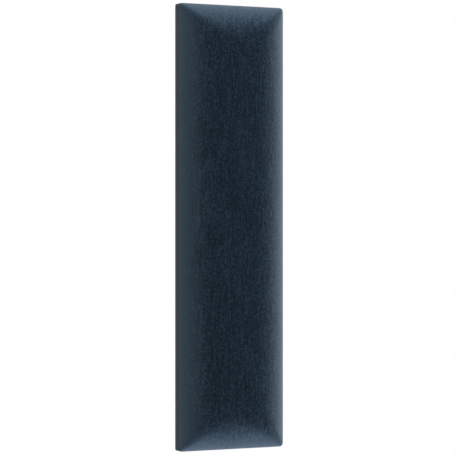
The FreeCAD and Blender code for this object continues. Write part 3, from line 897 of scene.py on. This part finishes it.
def looseness(x, z, into_well):
    """0 where the sheet is held by the folded cloth or a clip, 1 where it hangs free."""
    beside_clip = smoothstep(*CLIP_BESIDE, np.abs(x))
    past_clip = smoothstep(*CLIP_PAST, np.abs(np.abs(z) - CLIP_LEVEL))
    near_clip = (1 - beside_clip) * (1 - past_clip)
    return smoothstep(*LOOSE_START, into_well) * (1 - near_clip)


def beside_staple(x, z, place):
    """Each point's distance from a staple's middle, along its crown and across it."""
    staple_x, staple_z, upright = place
    if upright:
        return np.abs(z - staple_z), np.abs(x - staple_x)
    return np.abs(x - staple_x), np.abs(z - staple_z)


def staple_relief(x, z):
    """Mounds over the hidden staples, and cloth pressed down and drawn in by the visible ones."""
    relief = 0
    for place in hidden_places:
        along, aside = beside_staple(x, z, place)
        mound = np.exp(-(aside / MOUND_WIDE) ** 2) * (1 - smoothstep(*MOUND_END, along))
        relief = relief + MOUND_HIGH * mound
    for place in dust_places:
        along, aside = beside_staple(x, z, place)
        press = np.exp(-(aside / PRESS_WIDE) ** 2) * (1 - smoothstep(*PRESS_END, along))
        past_end = along - STAPLE_CROWN / 2
        ray = np.exp(-(past_end / RAY_LONG) ** 2) * np.exp(-aside / RAY_WIDE)
        relief = relief - PRESS_DEEP * press - RAY_DEEP * ray
    return relief


def round_sheet_corners(x, z, half_wide, half_tall):
    """Pulls the grid's corners in onto arcs."""
    past_x = np.abs(x) - (half_wide - DUST_CORNER)
    past_z = np.abs(z) - (half_tall - DUST_CORNER)
    reach = np.hypot(np.maximum(past_x, 0), np.maximum(past_z, 0))
    outside = reach > DUST_CORNER
    shrink = np.where(outside, DUST_CORNER / np.maximum(reach, 1e-9), 1.0)
    new_x = np.where(outside, half_wide - DUST_CORNER + past_x * shrink, np.abs(x))
    new_z = np.where(outside, half_tall - DUST_CORNER + past_z * shrink, np.abs(z))
    return np.sign(x) * new_x, np.sign(z) * new_z


def make_dust_cover(material):
    """A sheet of spun-bonded cloth: hemmed edge on the folded velour, then down onto the board."""
    half_wide, half_tall = dust_high.x, dust_high.z
    columns = int(round(2 * half_wide / DUST_STEP))
    rows = int(round(2 * half_tall / DUST_STEP))
    x, z = np.meshgrid(np.linspace(-half_wide, half_wide, columns + 1),
                       np.linspace(-half_tall, half_tall, rows + 1))
    into_well = np.minimum(board_high.x - RETURN_WIDE - np.abs(x),
                           board_high.z - RETURN_WIDE - np.abs(z))
    y = FLANGE + (WELL - FLANGE) * smoothstep(-LIP_OUTSIDE, LIP_INSIDE, into_well)
    y = y + (LOOSE_LIFT + wrinkle(x, z)) * looseness(x, z, into_well)
    edge = np.minimum(half_wide - np.abs(x), half_tall - np.abs(z))
    y = y + HEM_HIGH * (1 - smoothstep(*HEM_STEP, edge))
    y = y + staple_relief(x, z)
    x, z = round_sheet_corners(x, z, half_wide, half_tall)
    points = np.stack([x.ravel(), y.ravel(), z.ravel()], 1)
    wide = columns + 1
    faces = [(j * wide + i, (j + 1) * wide + i, (j + 1) * wide + i + 1, j * wide + i + 1)
             for j in range(rows) for i in range(columns)]
    sheet = new_piece("dust_sheet", points, faces)
    thick = sheet.modifiers.new("thickness", "SOLIDIFY")
    thick.thickness = DUST_THICK
    thick.offset = -1
    apply_modifiers(sheet)
    sheet.data.materials.append(material)
    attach(sheet, "pad")
    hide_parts("dust_cover")


# ---------------------------------------------------------------- hardware from the frame

def finish_node(name, material):
    """Gives a CAD node its material; its shape stays."""
    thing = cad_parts[name]
    thing.data.materials.clear()
    thing.data.materials.append(material)


def finish_hardware():
    aluminium = clip_aluminium()
    for level in ("upper", "lower"):
        for place in ("wall", "panel"):
            finish_node(f"{level}_{place}_clip", aluminium)
    finish_node("panel_clip_screws", zinc("screw_zinc", (0.50, 0.51, 0.54), (0.74, 0.75, 0.79)))
    rubber = bumper_rubber()
    for level in ("upper", "lower"):
        for hand in ("left", "right"):
            finish_node(f"{level}_{hand}_bumper", rubber)
    finish_node("backing_board", board_fibre())


# ---------------------------------------------------------------- light, floor and camera

LIGHT_REACH = 2.2
LIGHT_SIZE = 1.3
GLOSS_GLOW = 0.35               # a pale room that only the metal and rubber mirror
FLOOR_GLOW = 0.8                # keeps the far floor pale, and lights nothing else
FLOOR_REACH = 6.0
FLOOR_DROP = 2.6
CAMERA_TURN = math.radians(20)  # the camera stands to the pad's left
CAMERA_DISTANCE = 2.042
CAMERA_LENS = 119.1
CAMERA_AIM = (-0.0039, RIM + 0.0019, -0.0010)

# Each soft box: degrees to the pad's right, degrees up, watts and colour.
LIGHTS = {
    "overhead": (0, 88, 52, (0.66, 1.00, 0.94)),
    "below": (0, -88, 52, (0.72, 0.90, 1.00)),
    "right_edge": (108, 0, 40, (0.72, 0.86, 1.00)),
    "right_low": (90, -50, 133, (1.00, 0.81, 0.77)),
    "right_high": (90, 50, 132, (1.00, 0.77, 0.76)),
    "left_low": (270, -50, 126, (1.00, 0.60, 0.50)),
    "left_high": (270, 50, 126, (1.00, 0.58, 0.37)),
    "front_left_high": (300, 50, 14, (0.30, 0.45, 1.00)),
    "behind_left": (205, 45, 16, (1.00, 1.00, 1.00)),
    "behind_right": (155, 45, 16, (1.00, 1.00, 1.00)),
}


def soft_light(name, turn, lift, power, colour):
    """A round soft box that aims at the pad, `turn` degrees to its right, `lift` degrees up."""
    data = bpy.data.lights.new(name, "AREA")
    data.shape = "DISK"
    data.size = LIGHT_SIZE
    data.energy = power
    data.color = colour
    lamp = bpy.data.objects.new(name, data)
    bpy.context.scene.collection.objects.link(lamp)
    turn, lift = math.radians(turn), math.radians(lift)
    ahead = Vector((math.sin(turn) * math.cos(lift), -math.cos(turn) * math.cos(lift), math.sin(lift)))
    lamp.location = ahead * LIGHT_REACH
    lamp.visible_glossy = name.startswith("behind")     # only these glint on the clips
    lamp.rotation_euler = ahead.to_track_quat("Z", "Y").to_euler()


def make_surroundings():
    """A white background for the camera, and a dimmer one for what the metal mirrors."""
    world = bpy.data.worlds.new("studio")
    bpy.context.scene.world = world
    world.use_nodes = True
    sky = world.node_tree
    background = sky.nodes["Background"]
    background.inputs["Color"].default_value = (1, 1, 1, 1)
    ray = node(sky, "ShaderNodeLightPath")
    glow = node(sky, "ShaderNodeMath", operation="MULTIPLY_ADD")
    glow.inputs[1].default_value = GLOSS_GLOW
    sky.links.new(ray.outputs["Is Glossy Ray"], glow.inputs[0])
    sky.links.new(ray.outputs["Is Camera Ray"], glow.inputs[2])
    sky.links.new(glow.outputs[0], background.inputs["Strength"])


def make_floor():
    """A pale floor well below the pad, which hangs on a wall."""
    mesh = bpy.data.meshes.new("floor")
    corners = [(FLOOR_REACH * x, FLOOR_REACH * y, -FLOOR_DROP)
               for x, y in ((-1, -1), (1, -1), (1, 1), (-1, 1))]
    mesh.from_pydata(corners, [], [(0, 1, 2, 3)])
    floor = bpy.data.objects.new("floor", mesh)
    bpy.context.scene.collection.objects.link(floor)
    material, _, shader = new_material("floor_paint")
    shader.inputs["Base Color"].default_value = (0.9, 0.9, 0.9, 1)
    shader.inputs["Roughness"].default_value = 0.9
    shader.inputs["Emission Color"].default_value = (1, 1, 1, 1)
    shader.inputs["Emission Strength"].default_value = FLOOR_GLOW
    floor.data.materials.append(material)
    floor.visible_diffuse = floor.visible_glossy = False


def make_camera():
    """A long lens, level with the pad's middle and turned towards its left side."""
    data = bpy.data.cameras.new("camera")
    data.lens = CAMERA_LENS
    camera = bpy.data.objects.new("camera", data)
    bpy.context.scene.collection.objects.link(camera)
    camera.location = (CAMERA_AIM[0] - CAMERA_DISTANCE * math.sin(CAMERA_TURN),
                       CAMERA_AIM[1] - CAMERA_DISTANCE * math.cos(CAMERA_TURN),
                       CAMERA_AIM[2])
    camera.rotation_euler = (math.pi / 2, 0, -CAMERA_TURN)
    bpy.context.scene.camera = camera
    bpy.context.scene.view_settings.view_transform = "Standard"


# ---------------------------------------------------------------- build

for name, (turn, lift, power, colour) in LIGHTS.items():
    soft_light(name, turn, lift, power, colour)
make_surroundings()
make_floor()
make_camera()

# The second velour is a darker, duller copy for the sides and back: painted shade.
make_cover(velour("slub_velour", PILE_DYES, PILE_SHEEN),
           velour("slub_velour_shaded_copy", SHADED_COPY_DYES, SHADED_COPY_SHEEN))
foam_depth = CLOTH + WADDING
firm_top = RIM - core_low.y
make_layer("wadding_wrap", "wadding_layer", CLOTH, 0.0, math.inf, wadding_fluff(),
           hollow=WADDING)
make_layer("firm_foam_slab", "foam_core", foam_depth, 0.0, firm_top,
           foam("firm_foam_cells", (0.030, 0.032, 0.036), (0.075, 0.08, 0.088), 0.9 * MM))
make_layer("soft_foam_slab", "foam_topper", foam_depth, firm_top, math.inf,
           foam("soft_foam_cells", (0.46, 0.42, 0.28), (0.78, 0.74, 0.55), 0.7 * MM))
finish_hardware()
make_dust_cover(dust_cloth())
wire_steel = zinc("staple_steel", (0.42, 0.43, 0.45), (0.66, 0.67, 0.70))
make_staples("dust_staples", "dust_cover_staples", dust_places, dust_staple_low, dust_staple_high,
             wire_steel, seed=3)
make_staples("cloth_staples", "cover_staples", hidden_places, hidden_staple_low,
             hidden_staple_high, wire_steel, seed=5)
